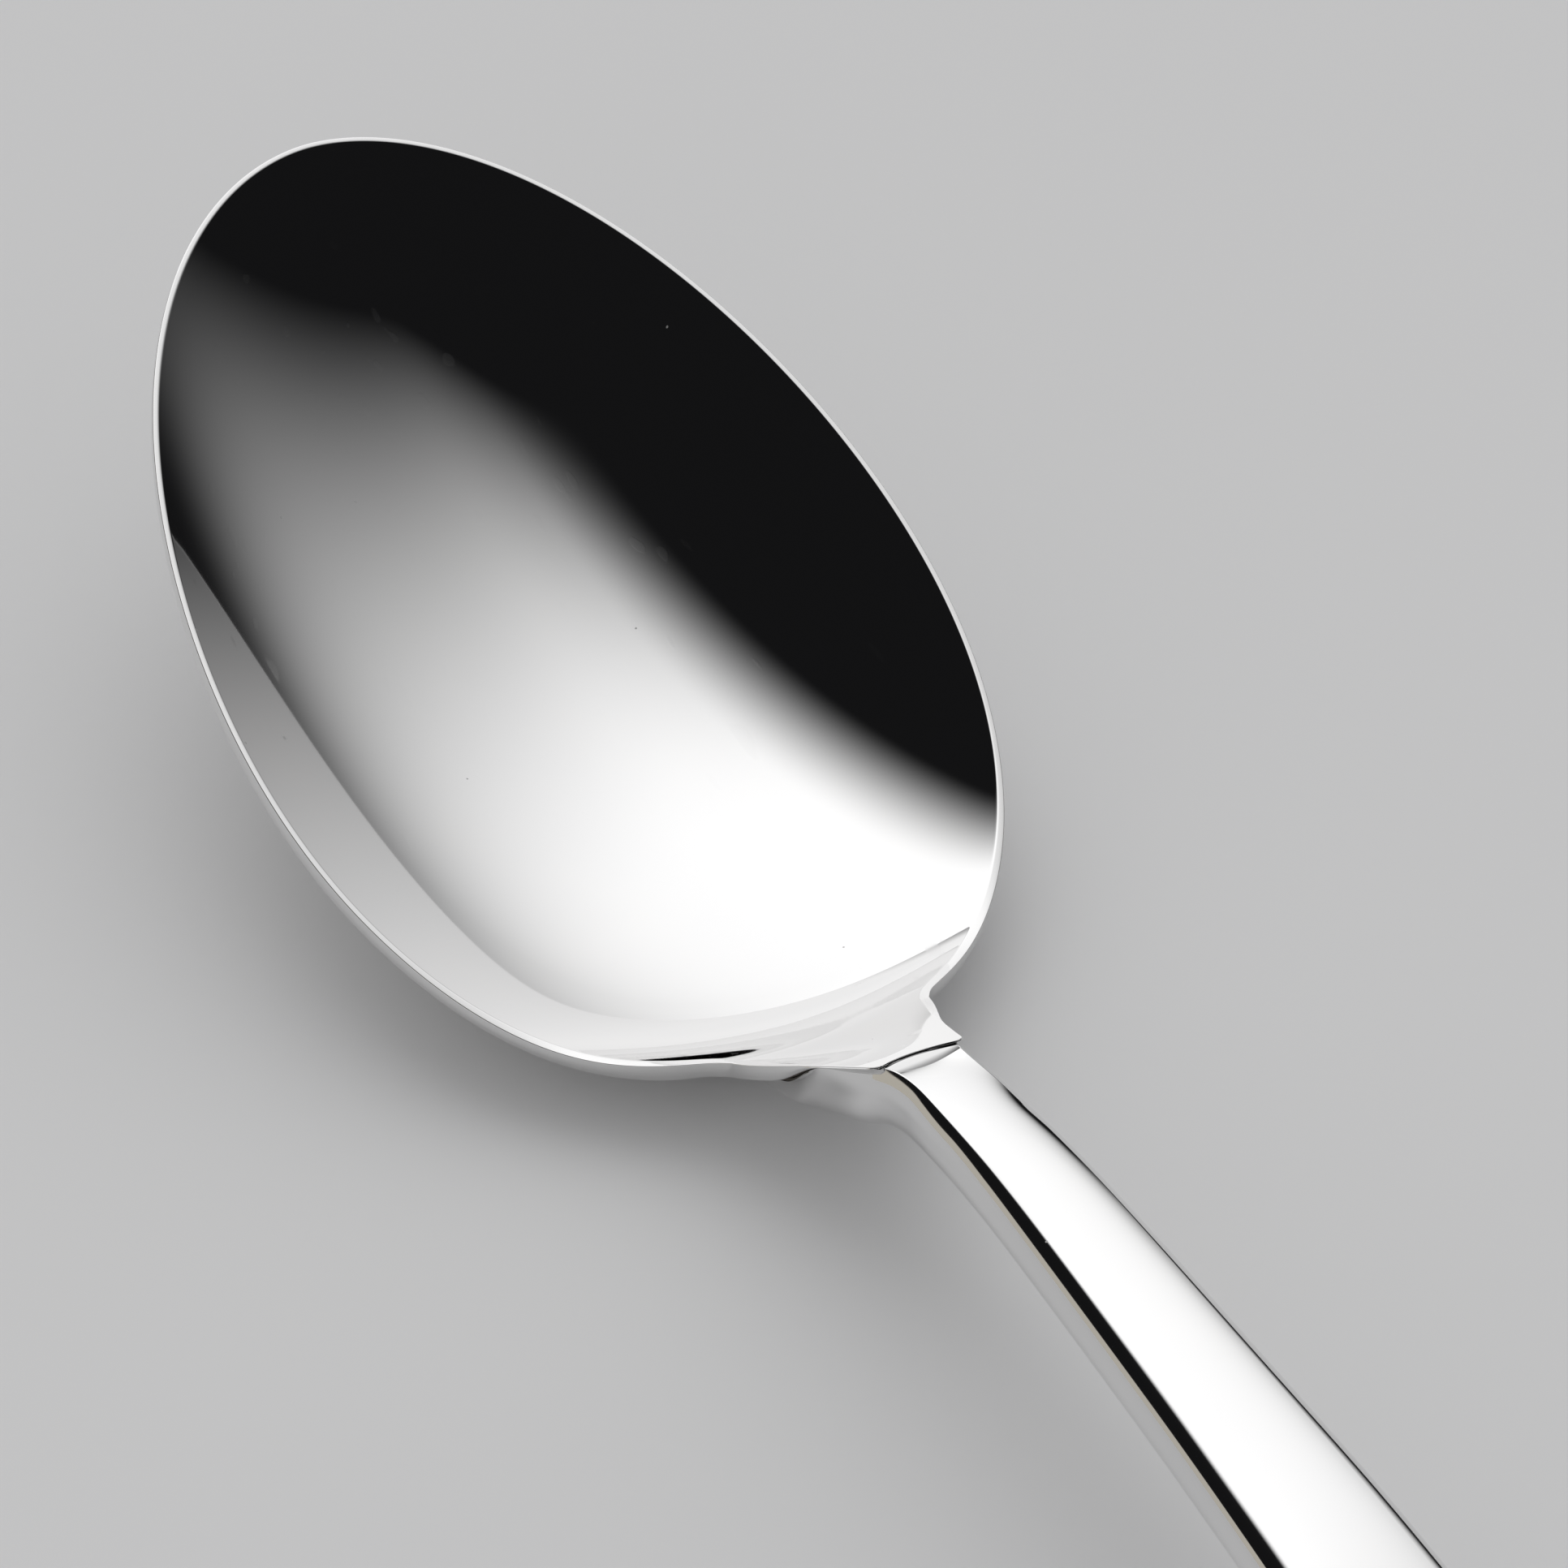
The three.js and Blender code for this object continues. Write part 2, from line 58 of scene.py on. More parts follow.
OVERALL_LENGTH, CREST_HEIGHT, CREST_REACH = 180.0, 14.05, 36.0
NECK_SLOPE, NECK_LENGTH, NECK_SAG, UNDER_BLEND = 0.46, 15.0, 0.35, 4.0
SHOULDER_SLOPE, END_SLOPE, CROWN_RUN = 0.03, -0.02, 7.5
NECK_WIDTH, CREST_WIDTH, END_WIDTH, END_ROUNDING = 3.3, 5.75, 14.5, 7.0
WAIST_END, BROAD_START, BROAD_END = 3, 12, 8
HEAD_RUN, END_RUN = 5, 8
NECK_THICKNESS, END_THICKNESS = 3.3, 2.3
FLANK_ANGLE, FLANK_REACH, FLANK_DROP, TOP_CROWN = 52.0, 0.85, 1.6, 0.38
ARRIS_NEAR, ARRIS_FAR = 0.05, 0.38
REST_FLAT = 0.12

TILT = math.radians(BOWL_TILT)
INNER_LENGTH = BOWL_LENGTH / 2 - RIM_LAND
INNER_WIDTH = BOWL_WIDTH / 2 - RIM_LAND
TONGUE_END = INNER_LENGTH + TONGUE_REACH
EAR_END = INNER_LENGTH + EAR_REACH


def smoothstep(x, low, high):
    t = np.clip((x - low) / (high - low), 0, 1)
    return t * t * (3 - 2 * t)


def smootherstep(x, low, high):
    t = np.clip((x - low) / (high - low), 0, 1)
    return t ** 3 * (t * (6 * t - 15) + 10)


# Forms of the bowl, in the plane of its rim with the tip at -X
def inside_half_width(x):
    c = np.clip(-x / INNER_LENGTH, -1, 1)
    fullness = 1 - EGG_FULLNESS * c + EGG_BLUNTNESS * EGG_FULLNESS * c * c
    egg = INNER_WIDTH * np.maximum(1 - c * c, 0) ** EGG_POWER * fullness
    neck = TONGUE_END_WIDTH / 2 + TONGUE_TAPER * (TONGUE_END - x)
    joined = (egg + neck + np.hypot(egg - neck, EAR_BEND * x / INNER_LENGTH)) / 2
    return np.where(x < 0, egg, joined)


def rim_height(x):
    rise = math.tan(math.radians(HEEL_ANGLE)) * HEEL_BEND
    return rise * np.logaddexp(0, (x - (INNER_LENGTH - HEEL_START)) / HEEL_BEND)


def floor_dip(x):
    far = (x / INNER_LENGTH) ** 4
    cap = BOWL_DEPTH * (1 - (x / INNER_LENGTH) ** 2)
    trough = TROUGH_DEPTH * np.exp(-((x - INNER_LENGTH) / TROUGH_LENGTH) ** 2) * far
    heel = (cap + np.hypot(cap, FLOOR_EASE * far)) / 2 + trough
    return np.where(x < 0, cap, heel)


def inside_height(x, y):
    across = np.clip(y / np.maximum(inside_half_width(x), 0.05), -1, 1)
    return rim_height(x) - floor_dip(x) * (1 - across ** 2)


def on_tongue(x):
    return smoothstep(x, EAR_END - 1.2, EAR_END + 0.6)


def feathering(x, across):
    """How far the tongue is thinned to a lip, at its sides and at its end."""
    sides = smoothstep(np.abs(across), 0.4, 1)
    end = smoothstep(x, TONGUE_END - FEATHER_LENGTH, TONGUE_END - SPUR_ROUND)
    return on_tongue(x) * (1 - (1 - sides) * (1 - end))


def underside_height(x, y):
    """The inside lowered by the wall, measured square to the surface."""
    x = np.maximum(x, 0.004 - INNER_LENGTH)
    step = np.minimum(0.02, 0.25 * (x + INNER_LENGTH))
    half = np.maximum(inside_half_width(x), 0.05)
    across = np.clip(y / half, -1, 1)
    dip = floor_dip(x)
    growth = (inside_half_width(x + step) - inside_half_width(x - step)) / (2 * step * half)
    rise = (rim_height(x + step) - rim_height(x - step)) / (2 * step)
    fall = (floor_dip(x + step) - floor_dip(x - step)) / (2 * step)
    along = rise - fall * (1 - across ** 2) - 2 * dip * across ** 2 * growth
    sideways = 2 * dip * across / half
    depth = np.clip(dip * (1 - across ** 2) / BOWL_DEPTH, 0, 1)
    wall = RIM_WALL + (BOWL_WALL - RIM_WALL) * depth
    wall = wall + (LIP_WALL - wall) * feathering(x, across)
    return rim_height(x) - dip * (1 - across ** 2) - wall * np.sqrt(1 + along ** 2 + sideways ** 2)


def tongue_end_at(y):
    share = np.minimum(np.abs(y) / (TONGUE_END_WIDTH / 2), 1)
    return TONGUE_END - TONGUE_HOLLOW * (1 - share ** 2)


def tilted(x, z):
    return x * math.cos(TILT) + z * math.sin(TILT), z * math.cos(TILT) - x * math.sin(TILT)


spots = np.arange(-INNER_LENGTH / 2, 0.8 * INNER_LENGTH, 0.1)
lowest = np.argmin(tilted(spots, underside_height(spots, 0 * spots))[1])
STAND_AT = spots[lowest]
STAND_X, STAND_Z = tilted(STAND_AT, underside_height(STAND_AT, 0.0))


def posed(x, y, z):
    """Turns points from the plane of the rim to the bowl's pose on the table."""
    table_x, table_z = tilted(x, z)
    return np.stack([table_x - STAND_X, y + 0 * x, table_z - STAND_Z - REST_FLAT], -1)


def bent(start, corner, end, t):
    return (1 - t) ** 2 * start + 2 * t * (1 - t) * corner + t ** 2 * end


# Forms of the handle, in its pose on the table
heel = np.linspace(INNER_LENGTH - DROP_LENGTH, TONGUE_END, 900)
floor_line = posed(heel, 0 * heel, inside_height(heel, 0 * heel))
under_line = posed(heel, 0 * heel, underside_height(heel, 0 * heel))
lip_low = underside_height(heel, inside_half_width(heel))
lip_line = posed(heel, inside_half_width(heel), lip_low)
EAR_X = posed(np.array(EAR_END), 0.0, inside_height(np.array(EAR_END), 0.0))[0]
TIP_X = posed(np.array(-BOWL_LENGTH / 2), 0.0, 0.0)[0]
NECK_X, NECK_Z = floor_line[-1, 0], floor_line[-1, 2] - TONGUE_STEP
DROP_X = under_line[0, 0]
CREST_X = NECK_X + CREST_REACH
HEAD_LENGTH = NECK_X - EAR_X
HEAD_TAPER = TONGUE_TAPER * (TONGUE_END - EAR_END) / HEAD_LENGTH
END_REACH = FLANK_REACH * END_THICKNESS / NECK_THICKNESS
TOP_END_X = TIP_X + OVERALL_LENGTH - END_REACH
ticks = np.arange(DROP_X - 1, TOP_END_X + 0.1, 0.1)


def hermite(x, start, start_z, start_slope, end, end_z, end_slope):
    span = end - start
    t = (x - start) / span
    level = start_z * (2 * t ** 3 - 3 * t ** 2 + 1) + end_z * (3 * t ** 2 - 2 * t ** 3)
    return level + span * (start_slope * (t ** 3 - 2 * t ** 2 + t) + end_slope * (t ** 3 - t ** 2))


def eased(line):
    """Evens out the curvature of a line along the handle, so that reflections run on smoothly."""
    for spread, low, high in ((7, NECK_X - 5, NECK_X - 1), (25, NECK_X + 3, NECK_X + 9)):
        reach = np.arange(-3 * spread, 3 * spread + 1)
        weight = np.exp(-(reach / spread) ** 2 / 2)
        padded = np.pad(line, 3 * spread, mode="reflect", reflect_type="odd")
        soft = np.convolve(padded, weight / weight.sum(), "valid")
        line = line + (soft - line) * smoothstep(ticks, low, high)
    return line


def top_ticks():
    neck_end = NECK_X + NECK_LENGTH
    neck_top = CREST_HEIGHT - NECK_SAG
    tongue = np.interp(ticks, floor_line[:, 0], floor_line[:, 2]) - TONGUE_STEP
    neck = hermite(ticks, NECK_X, NECK_Z, NECK_SLOPE, neck_end, neck_top, SHOULDER_SLOPE)
    crest = hermite(ticks, neck_end, neck_top, SHOULDER_SLOPE, CREST_X, CREST_HEIGHT, 0)
    end_top = END_THICKNESS - REST_FLAT
    fall = hermite(ticks, CREST_X, CREST_HEIGHT, 0, TOP_END_X + END_REACH, end_top, END_SLOPE)
    runs = [ticks < NECK_X, ticks < neck_end, ticks < CREST_X]
    return eased(np.select(runs, [tongue, neck, crest], fall))


def half_ticks():
    back = NECK_X - ticks
    back = back - 0.1 * HEAD_LENGTH * np.logaddexp(0, (back / HEAD_LENGTH - 1) / 0.1)
    head = TONGUE_END_WIDTH / 2 + HEAD_TAPER * back
    widening = np.clip((ticks - NECK_X - WAIST_END) / (CREST_X - NECK_X - WAIST_END), 0, 1) ** 0.9
    slim = NECK_WIDTH / 2 + (CREST_WIDTH - NECK_WIDTH) / 2 * widening
    broad = smootherstep(ticks, CREST_X - BROAD_START, TOP_END_X + END_REACH - BROAD_END)
    step = (TONGUE_END_WIDTH - NECK_WIDTH) / 2
    waist = step * np.exp(-np.maximum(ticks - NECK_X, 0) * HEAD_TAPER / step)
    bar = slim + (END_WIDTH / 2 - END_REACH - slim) * broad + waist
    return eased(np.where(ticks < NECK_X, head, bar))


top_of_ticks, half_of_ticks = top_ticks(), half_ticks()


def top_line(x):
    return np.interp(x, ticks, top_of_ticks)


def top_half_width(x):
    start = np.clip((x - DROP_X) / DROP_LENGTH, 0, 1)
    end = np.clip((x - TOP_END_X + END_ROUNDING) / END_ROUNDING, 0, 1)
    return np.interp(x, ticks, half_of_ticks) * np.sqrt(1 - (1 - start) ** 2) * np.sqrt(1 - end ** 2)


def bottom_line(x):
    slope = (top_line(x + 0.2) - top_line(x - 0.2)) / 0.4
    fade = smoothstep(x, CREST_X, TOP_END_X + END_REACH)
    thick = NECK_THICKNESS + (END_THICKNESS - NECK_THICKNESS) * fade
    bar = top_line(x) - thick * np.sqrt(1 + slope ** 2)
    share = (x - DROP_X) / (NECK_X + UNDER_BLEND - DROP_X)
    drop = np.interp(x, under_line[:, 0], under_line[:, 2]) - DROP_THICKNESS * (0.6 + share)
    return drop + (bar - drop) * smoothstep(share, 0.2, 0.85)


# Ways of making
def only(piece):
    bpy.ops.object.select_all(action="DESELECT")
    piece.select_set(True)
    bpy.context.view_layer.objects.active = piece


def pressed(name, rows, edge):
    """A fine flat sheet pressed onto a form, ring by ring. Its seam and its two ends close up."""
    rings, points = rows.shape[:2]
    bpy.ops.object.select_all(action="DESELECT")
    bpy.ops.mesh.primitive_grid_add(x_subdivisions=points, y_subdivisions=rings - 1, size=1)
    piece = bpy.context.object
    piece.name = piece.data.name = name
    flat = np.empty(3 * len(piece.data.vertices))
    piece.data.vertices.foreach_get("co", flat)
    flat = flat.reshape(-1, 3) + 0.5
    column = np.rint(flat[:, 0] * points).astype(int) % points
    ring = np.rint(flat[:, 1] * (rings - 1)).astype(int)
    piece.data.vertices.foreach_set("co", (rows[ring, column] * MM).ravel())
    worn = piece.data.attributes.new("edge", "FLOAT", "POINT")
    worn.data.foreach_set("value", edge[ring, column])
    bpy.ops.object.mode_set(mode="EDIT")
    bpy.ops.mesh.select_all(action="SELECT")
    bpy.ops.mesh.remove_doubles(threshold=4e-9)
    bpy.ops.mesh.dissolve_degenerate(threshold=4e-9)
    bpy.ops.mesh.select_all(action="SELECT")
    bpy.ops.mesh.normals_make_consistent(inside=False)
    bpy.ops.object.mode_set(mode="OBJECT")
    return piece


def ground_flat(piece):
    """Takes off what reaches below the table, which leaves the small flat the spoon stands on."""
    only(piece)
    bpy.ops.object.mode_set(mode="EDIT")
    bpy.ops.mesh.select_all(action="SELECT")
    bpy.ops.mesh.bisect(plane_co=(0, 0, 0), plane_no=(0, 0, 1), use_fill=True, clear_inner=True,
                        threshold=1e-8)
    bpy.ops.mesh.mark_sharp()
    bpy.ops.object.mode_set(mode="OBJECT")


def combined(piece, tool, how):
    """Cuts a piece with a tool, or keeps what they share, and clears slivers along the cut."""
    only(piece)
    cut = piece.modifiers.new("cut", "BOOLEAN")
    cut.object = tool
    cut.operation = how
    cut.solver = "EXACT"
    bpy.ops.object.modifier_apply(modifier="cut")
    mesh = bmesh.new()
    mesh.from_mesh(piece.data)
    for _ in range(2):
        bmesh.ops.dissolve_degenerate(mesh, dist=1e-6, edges=mesh.edges)
        idle = [corner for corner in mesh.verts if len(corner.link_edges) == 2]
        bmesh.ops.dissolve_verts(mesh, verts=idle)
        wide = [face for face in mesh.faces if len(face.verts) > 4]
        bmesh.ops.triangulate(mesh, faces=wide, ngon_method="BEAUTY")
    mesh.to_mesh(piece.data)
    mesh.free()


def finished(piece, node, material, angle=32):
    only(piece)
    bpy.ops.object.shade_smooth_by_angle(angle=math.radians(angle))
    piece.data.materials.clear()
    piece.data.materials.append(material)
    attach(piece, "root")
    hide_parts(node)


# The pressed bowl: inside, lip and underside
def bowl_outlines():
    egg = -INNER_LENGTH * np.cos(np.linspace(0, math.acos(-0.93), 150))
    ear = np.linspace(egg[-1], EAR_END, 36)[1:]
    tongue = np.linspace(EAR_END, TONGUE_END - SPUR_ROUND, 30)[1:]
    x = np.concatenate([egg, ear, tongue])
    side = np.stack([x, inside_half_width(x)], -1)
    side[0, 1] = 0
    corner = np.array([TONGUE_END, inside_half_width(np.array(TONGUE_END))])
    y = np.linspace(corner[1] - SPUR_ROUND, 0, 14)
    end = np.stack([tongue_end_at(y), y], -1)
    spur = np.array([bent(side[-1], corner, end[0], t) for t in np.linspace(0, 1, 10)[1:-1]])
    half = np.concatenate([side, spur, end])
    inner = np.concatenate([half, half[-2:0:-1] * (1, -1)])
    along = np.roll(inner, -1, 0) - np.roll(inner, 1, 0)
    normal = np.stack([-along[:, 1], along[:, 0]], -1)
    normal /= np.linalg.norm(normal, axis=1, keepdims=True)
    x = inner[:, 0]
    land = RIM_LAND + (EAR_LAND - RIM_LAND) * smoothstep(x, 0.5 * INNER_LENGTH, INNER_LENGTH)
    land = land + (TONGUE_LAND - land) * smoothstep(x, INNER_LENGTH + 0.6, EAR_END + 1)
    return inner, normal, land


def make_bowl():
    inner, normal, land = bowl_outlines()
    outer = inner + normal * land[:, None]
    middle = np.array([STAND_AT, 0.0])

    def on_inside(share):
        p = middle + (inner - middle) * np.reshape(share, (-1, 1))
        return posed(p[:, 0], p[:, 1], inside_height(p[:, 0], p[:, 1]))

    def on_underside(share):
        p = middle + (outer - middle) * np.reshape(share, (-1, 1))
        return posed(p[:, 0], p[:, 1], underside_height(p[:, 0], p[:, 1]))

    top = inside_height(inner[:, 0], inner[:, 1])
    low = underside_height(inner[:, 0], inner[:, 1])
    at_heel = outer[:, 0] > 0
    top_out = np.where(at_heel, inside_height(outer[:, 0], outer[:, 1]), top)
    low_out = np.where(at_heel, underside_height(outer[:, 0], outer[:, 1]), low)
    crest = posed(inner[:, 0], inner[:, 1], top)
    brow = posed(outer[:, 0], outer[:, 1], top_out)
    foot = posed(outer[:, 0], outer[:, 1], low_out)
    away = posed(outer[:, 0] + normal[:, 0], outer[:, 1] + normal[:, 1], top_out) - brow
    reach = np.linalg.norm(inner - middle, axis=1)
    round_in = np.minimum(RIM_ROUND_IN, 0.3 * land)
    round_out = np.minimum(RIM_ROUND_OUT, 0.35 * land)
    inside_end = 1 - round_in / reach
    under_end = 1 - UNDER_ROUND / reach
    land_in = crest + (brow - crest) * (round_in / land)[:, None]
    land_out = brow + (crest - brow) * (round_out / land)[:, None]
    tall = np.linalg.norm(foot - brow, axis=1)
    side_top = brow + (foot - brow) * np.minimum(SIDE_ROUND / tall, 0.3)[:, None]
    side_low = foot + (brow - foot) * np.minimum(FOOT_ROUND / tall, 0.4)[:, None]

    rings, worn = [], []

    def ring(points, wear=0.0):
        rings.append(points)
        worn.append(np.full(len(points), wear))

    for share in np.linspace(0, 1, 62):
        ring(on_inside(share * (1 - NEXT_INSIDE / reach)))
    ring(on_inside(1 - LAST_INSIDE / reach))
    for t in np.linspace(0, 1, 7):
        ring(bent(on_inside(inside_end), crest, land_in, t), t)
    ring((land_in + land_out) / 2, 1.0)
    for t in np.linspace(0, 1, 7):
        ring(bent(land_out, brow, side_top, t), 1.0)
    for t in (0.12, 0.35, 0.65, 0.88):
        bulge = away * SIDE_BULGE * t * (1 - t)
        ring(side_top + (side_low - side_top) * t + bulge, 0.6 * (1 - t))
    for t in np.linspace(0, 1, 8):
        ring(bent(side_low, foot, on_underside(under_end), t), 0.3 * (1 - t))
    ring(on_underside(1 - LAST_UNDERSIDE / reach))
    for share in np.linspace(1, 0, 58)[1:]:
        ring(on_underside(share * (1 - LAST_UNDERSIDE / reach)))
    piece = pressed("spoon_bowl", np.array(rings), np.array(worn))
    ground_flat(piece)
    return piece


# The forged bar of the handle, before its seat is cut
def bar_stations():
    """Places of the bar's rings, closest at its two ends and round the seam."""
    runs = ((DROP_X, DROP_X + HEAD_RUN, 34), (DROP_X + HEAD_RUN, NECK_X - 0.6, 44),
            (NECK_X - 0.6, NECK_X + 4, 40), (NECK_X + 4, CREST_X, 72),
            (CREST_X, TOP_END_X - END_RUN, 110))
    x = [np.linspace(start, end, count, endpoint=False) for start, end, count in runs]
    x[0] = DROP_X + HEAD_RUN * np.linspace(0, 1, 34, endpoint=False) ** 1.6
    x.append(TOP_END_X - END_RUN * (1 - np.sin(np.linspace(0, math.pi / 2, 40))))
    return np.concatenate(x)


def make_bar(name):
    x = bar_stations()
    top = top_line(x)
    depth = top - bottom_line(x)
    half = top_half_width(x)
    half[0] = half[-1] = 0
    taper = np.minimum(half / 2, 1)
    size = depth / NECK_THICKNESS * np.where(x < NECK_X, taper, 1)
    rails = top - np.interp(x, lip_line[:, 0], lip_line[:, 2]) - RAIL_STOCK
    level = rails[x < NECK_X][-1]
    tuck = 1 - HEAD_TUCK * smoothstep(NECK_X - x, 0, HEAD_LENGTH)
    crown = TOP_CROWN * taper
    head = crown + (rails - crown) * smoothstep(x, EAR_X - 0.4 * HEAD_LENGTH, EAR_X)
    bar = level + (crown - level) * smoothstep(x, NECK_X, NECK_X + CROWN_RUN)
    crown = np.where(x < NECK_X, head, bar)
    slope = np.gradient(half, x)
    slope[-1] = -1e6
    outwards = np.stack([-slope, np.ones_like(x)], -1) / np.hypot(slope, 1)[:, None]
    soft = ARRIS_NEAR + (ARRIS_FAR - ARRIS_NEAR) * smoothstep(x, NECK_X + 6, CREST_X + 12)
    soft = np.minimum(soft, 0.4 * half)
    angle = math.radians(FLANK_ANGLE)

    def on_top(share):
        fall = crown * (0.7 * share ** 2 + 0.3 * share ** 4)
        return np.stack([x, half * share, top - fall], -1)

    def on_flank(t):
        lead = 1.5 * FLANK_DROP * (1 - t) ** 2 * t
        middle = 3 * (1 - t) * t ** 2
        out = (lead * math.sin(angle) + (middle + t ** 3) * FLANK_REACH) * size * tuck
        drop = (lead * math.cos(angle) + (0.72 * middle + t ** 3) * FLANK_DROP) * size
        return np.stack([x + outwards[:, 0] * out, half + outwards[:, 1] * out, top - crown - drop], -1)

    one = np.ones_like(x)
    top_end = 1 - soft / np.maximum(half, 1e-6)
    flank_start = np.minimum(soft / np.maximum(1.5 * FLANK_DROP * size, 1e-6), 0.4)
    columns = [on_top(one * 0)]
    wear = [0.0]
    for share in np.linspace(0, 1, 17)[1:-1]:
        columns.append(on_top(top_end * share))
        wear.append(0.0)
    columns.append(on_top(top_end - 0.04 * (1 - top_end)))
    wear.append(0.2)
    for t in np.linspace(0, 1, 9):
        columns.append(bent(on_top(top_end), on_top(one), on_flank(flank_start), t))
        wear.append(1.0)
    for t in np.concatenate([[0.03], np.linspace(0.08, 1, 16)]):
        columns.append(on_flank(flank_start + (1 - flank_start) * t))
        wear.append(0.3 * (1 - t) ** 2)
    widest = columns[-1]
    rest = depth - (top - widest[:, 2])
    for turn in np.radians(np.linspace(0, 90, 24)[1:]):
        inwards = max(math.cos(turn), 0) ** 0.8
        down = rest * math.sin(turn) ** 0.8
        along = x + (widest[:, 0] - x) * inwards
        columns.append(np.stack([along, widest[:, 1] * inwards, widest[:, 2] - down], -1))
        wear.append(0.0)
    columns[-1][:, 1] = 0
    left = [column * (1, -1, 1) for column in columns[-2:0:-1]]
    rows = np.stack(columns + left, 1)
    worn = np.array(wear + wear[-2:0:-1])
    return pressed(name, rows, np.broadcast_to(worn, rows.shape[:2]))


def seat_depth(x, y):
    """Depth of the seat below the bowl's underside. Its rails rise to just under the tongue's lip."""
    half = inside_half_width(x)
    rail = smoothstep(np.abs(y), half - RAIL_WIDTH, half - RAIL_EDGE)
    return FILM_CLEARANCE + (FILM_THICKNESS + FILM_CLEARANCE) * (1 - on_tongue(x) * rail)


def heel_slab(name, seat):
    """A slab along the bowl's underside at the heel: the seat's free room, or the joint's film."""
    start = INNER_LENGTH - DROP_LENGTH - 1
    finish = TONGUE_END + TONGUE_LAND + FILM_CLEARANCE if seat else TONGUE_END - RAIL_EDGE
    x = np.linspace(start, finish, 100)[:, None]
    half = np.minimum(inside_half_width(x), SEAT_MIDDLE)
    middle, edge, beyond = np.linspace(0, 1, 16)[:-1], np.linspace(0, 1, 12), np.linspace(0, 1, 6)[1:]
    side = np.concatenate([middle, 1 + edge, 2 + beyond])
    if seat:
        y = np.where(side < 1, side * (half - SEAT_EDGE), half - SEAT_EDGE + SEAT_EDGE * (side - 1))
        y = np.where(side < 2, y, half + (SEAT_HALF_WIDTH - half) * (side - 2))
    else:
        y = side / 3 * (SEAT_HALF_WIDTH + (half - FILM_INSET - SEAT_HALF_WIDTH) * on_tongue(x))
    y = np.concatenate([-y[:, :0:-1], y], 1)
    x = x + (tongue_end_at(y) - TONGUE_END) * (x - start) / (finish - start)
    under = underside_height(x, np.minimum(np.abs(y), inside_half_width(x)))
    if seat:
        low, high = under - seat_depth(x, y), under + SEAT_HEADROOM
    else:
        low, high = under - FILM_THICKNESS - FILM_CLEARANCE, under - FILM_CLEARANCE
    rows = np.concatenate([posed(x, y, low), posed(x, y, high)[:, ::-1]], 1)
    closed = (rows + rows[:, ::-1]) / 2
    rows = np.concatenate([closed[:1], rows, closed[-1:]])
    return pressed(name, rows, np.zeros(rows.shape[:2]))


def make_handle_and_film():
    handle = make_bar("spoon_handle")
    film = make_bar("spoon_braze")
    seat = heel_slab("seat_tool", True)
    combined(handle, seat, "DIFFERENCE")
    ground_flat(handle)
    joint = heel_slab("joint_tool", False)
    combined(film, joint, "INTERSECT")
    for tool in (seat, joint):
        bpy.data.objects.remove(tool)
    return handle, film


# Finishes
SPECK_SIZE, SPECK_CORE, SPECK_SHARE = 0.009, 0.005, 0.4


def node(tree, kind, **inputs):
    made = tree.nodes.new(kind)
    for name, value in inputs.items():
        made.inputs[name.replace("_", " ")].default_value = value
    return made


